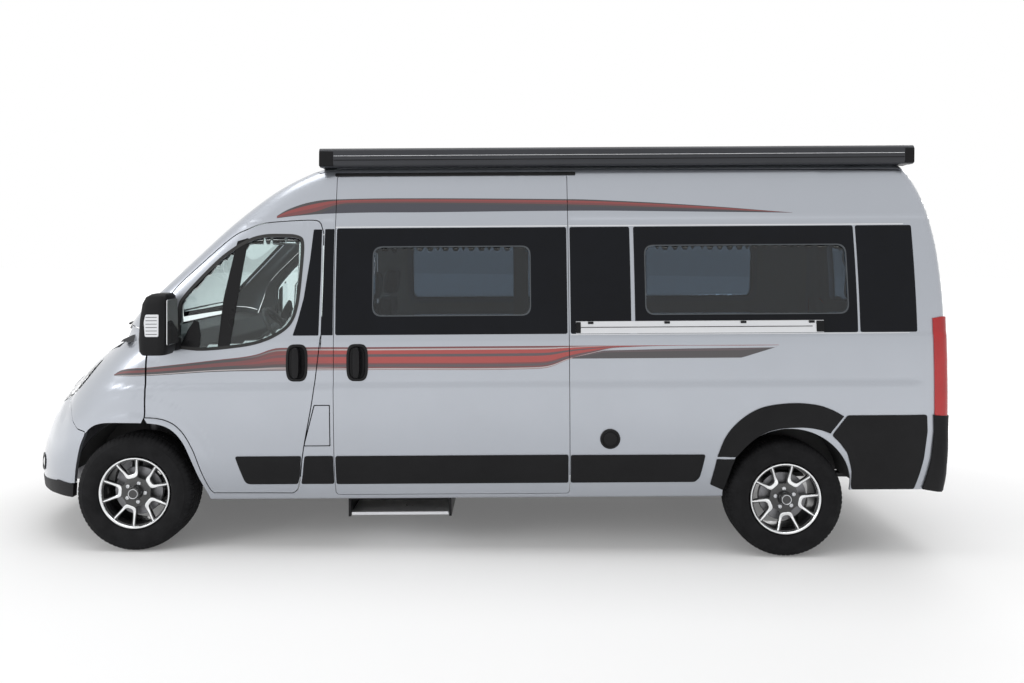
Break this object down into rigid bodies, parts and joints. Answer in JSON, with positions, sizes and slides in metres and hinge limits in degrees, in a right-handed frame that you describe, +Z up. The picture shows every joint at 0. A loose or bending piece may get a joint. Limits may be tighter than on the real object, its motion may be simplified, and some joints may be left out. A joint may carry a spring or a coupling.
{
  "type": "camper van",
  "caption": "High-roof camper van with opening cab, tail and bonnet panels, steered wheels, a pull-out step, a wind-out awning case and a furnished living room.",
  "frame": {"origin": "on the ground under the middle of the van", "axes": "+Z up, nose towards -X, the van's left side (sliding door) towards -Y"},
  "size_m": [5.9885, 2.506, 2.5733],
  "materials": {
    "body_paint": "metallic silver paint",
    "dark_glass": "tinted",
    "clear_glass": "lightly tinted",
    "black_plastic": "grained",
    "dark_case": "anthracite, satin",
    "rail_cover": "satin",
    "lamp_lens": "red and clear lens",
    "headlamp_lens": "clear lens",
    "running_gear": "black chassis paint",
    "engine_metal": "rough",
    "exhaust_metal": "dull",
    "alloy": "gloss black with machined edges",
    "tyre": "matt rubber",
    "cabinet": "light laminate",
    "upholstery": "woven",
    "seat_cloth": "woven",
    "cab_trim": "soft grain",
    "roof_light": "smooth",
    "step_metal": "ribbed"
  },
  "bodies": {
    "body": {"awning": "dark_case", "bench_boxes": "cabinet", "bench_cushions": "upholstery", "cab_frame": "body_paint", "cab_seats": "seat_cloth", "dashboard": "cab_trim", "door_rail": "rail_cover", "engine_block": "engine_metal", "exhaust": "exhaust_metal", "floor_pan": "running_gear", "front_bumper": "body_paint", "front_subframe": "running_gear", "grille": "black_plastic", "headlamps": "headlamp_lens", "kitchen_unit": "cabinet", "overhead_lockers": "cabinet", "rear_axle": "running_gear", "rear_bumper": "body_paint", "roof": "body_paint", "roof_lights": "roof_light", "scuttle": "black_plastic", "seat_pedestals": "running_gear", "side_panel_left": "body_paint", "side_panel_right": "body_paint", "side_windows": "dark_glass", "sliding_door": "body_paint", "steering_wheel": "cab_trim", "step_frame": "running_gear", "table": "cabinet", "tail_frame": "body_paint", "tail_lamps": "lamp_lens", "tanks": "black_plastic", "washroom": "cabinet", "wheel_housings": "black_plastic", "windscreen": "clear_glass", "wings": "body_paint"},
    "cab_door_left": {"cab_door_left": "body_paint", "cab_glass_left": "clear_glass", "mirror_left": "black_plastic"},
    "cab_door_right": {"cab_door_right": "body_paint", "cab_glass_right": "clear_glass", "mirror_right": "black_plastic"},
    "tail_door_left": {"tail_door_left": "body_paint", "tail_glass_left": "dark_glass"},
    "tail_door_right": {"tail_door_right": "body_paint", "tail_glass_right": "dark_glass"},
    "bonnet": {"bonnet": "body_paint"},
    "fuel_flap": {"fuel_flap": "body_paint"},
    "step_tread": {"step_tread": "step_metal"},
    "knuckle_left": {"knuckle_left": "running_gear"},
    "knuckle_right": {"knuckle_right": "running_gear"},
    "wheel_front_left": {"rim_front_left": "alloy", "tyre_front_left": "tyre"},
    "wheel_front_right": {"rim_front_right": "alloy", "tyre_front_right": "tyre"},
    "wheel_rear_left": {"rim_rear_left": "alloy", "tyre_rear_left": "tyre"},
    "wheel_rear_right": {"rim_rear_right": "alloy", "tyre_rear_right": "tyre"}
  },
  "joints": [
    {"name": "cab_door_left_hinge", "type": "hinge", "parent": "body", "child": "cab_door_left", "pos_m": [-1.97131, -1.025, 1.00133], "axis": [0.0157, 0, -0.9999], "range_deg": [0, 75]},
    {"name": "cab_door_right_hinge", "type": "hinge", "parent": "body", "child": "cab_door_right", "pos_m": [-1.97131, 1.025, 1.00133], "axis": [-0.0157, 0, 0.9999], "range_deg": [0, 75]},
    {"name": "tail_door_left_hinge", "type": "hinge", "parent": "body", "child": "tail_door_left", "pos_m": [2.98377, -0.80025, 1.36921], "axis": [0.0157, 0, -0.9999], "range_deg": [0, 180]},
    {"name": "tail_door_right_hinge", "type": "hinge", "parent": "body", "child": "tail_door_right", "pos_m": [2.98377, 0.80025, 1.36921], "axis": [-0.0157, 0, 0.9999], "range_deg": [0, 180]},
    {"name": "bonnet_hinge", "type": "hinge", "parent": "body", "child": "bonnet", "pos_m": [-2.3825, 0, 1.2169], "axis": [0, 1, 0], "range_deg": [0, 48]},
    {"name": "fuel_flap_hinge", "type": "hinge", "parent": "body", "child": "fuel_flap", "pos_m": [-0.83725, -1.025, 0.79912], "axis": [-0.0157, 0, 0.9999], "range_deg": [0, 90]},
    {"name": "step_slide", "type": "slide", "parent": "body", "child": "step_tread", "axis": [0, -1, 0], "range_m": [0, 0.28]},
    {"name": "steer_left", "type": "hinge", "parent": "body", "child": "knuckle_left", "pos_m": [-2.051, -0.79, 0.36], "axis": [0, 0, 1], "range_deg": [-35, 35]},
    {"name": "steer_right", "type": "hinge", "parent": "body", "child": "knuckle_right", "pos_m": [-2.051, 0.79, 0.36], "axis": [0, 0, 1], "range_deg": [-35, 35]},
    {"name": "wheel_front_left_spin", "type": "hinge", "parent": "knuckle_left", "child": "wheel_front_left", "pos_m": [-2.051, -0.905, 0.36], "axis": [0, 1, 0], "continuous": true},
    {"name": "wheel_front_right_spin", "type": "hinge", "parent": "knuckle_right", "child": "wheel_front_right", "pos_m": [-2.051, 0.905, 0.36], "axis": [0, 1, 0], "continuous": true},
    {"name": "wheel_rear_left_spin", "type": "hinge", "parent": "body", "child": "wheel_rear_left", "pos_m": [1.984, -0.895, 0.36], "axis": [0, 1, 0], "continuous": true},
    {"name": "wheel_rear_right_spin", "type": "hinge", "parent": "body", "child": "wheel_rear_right", "pos_m": [1.984, 0.895, 0.36], "axis": [0, 1, 0], "continuous": true}
  ],
  "couplings": [
    {"joint": "steer_right", "follows": "steer_left", "ratio": 1}
  ]
}
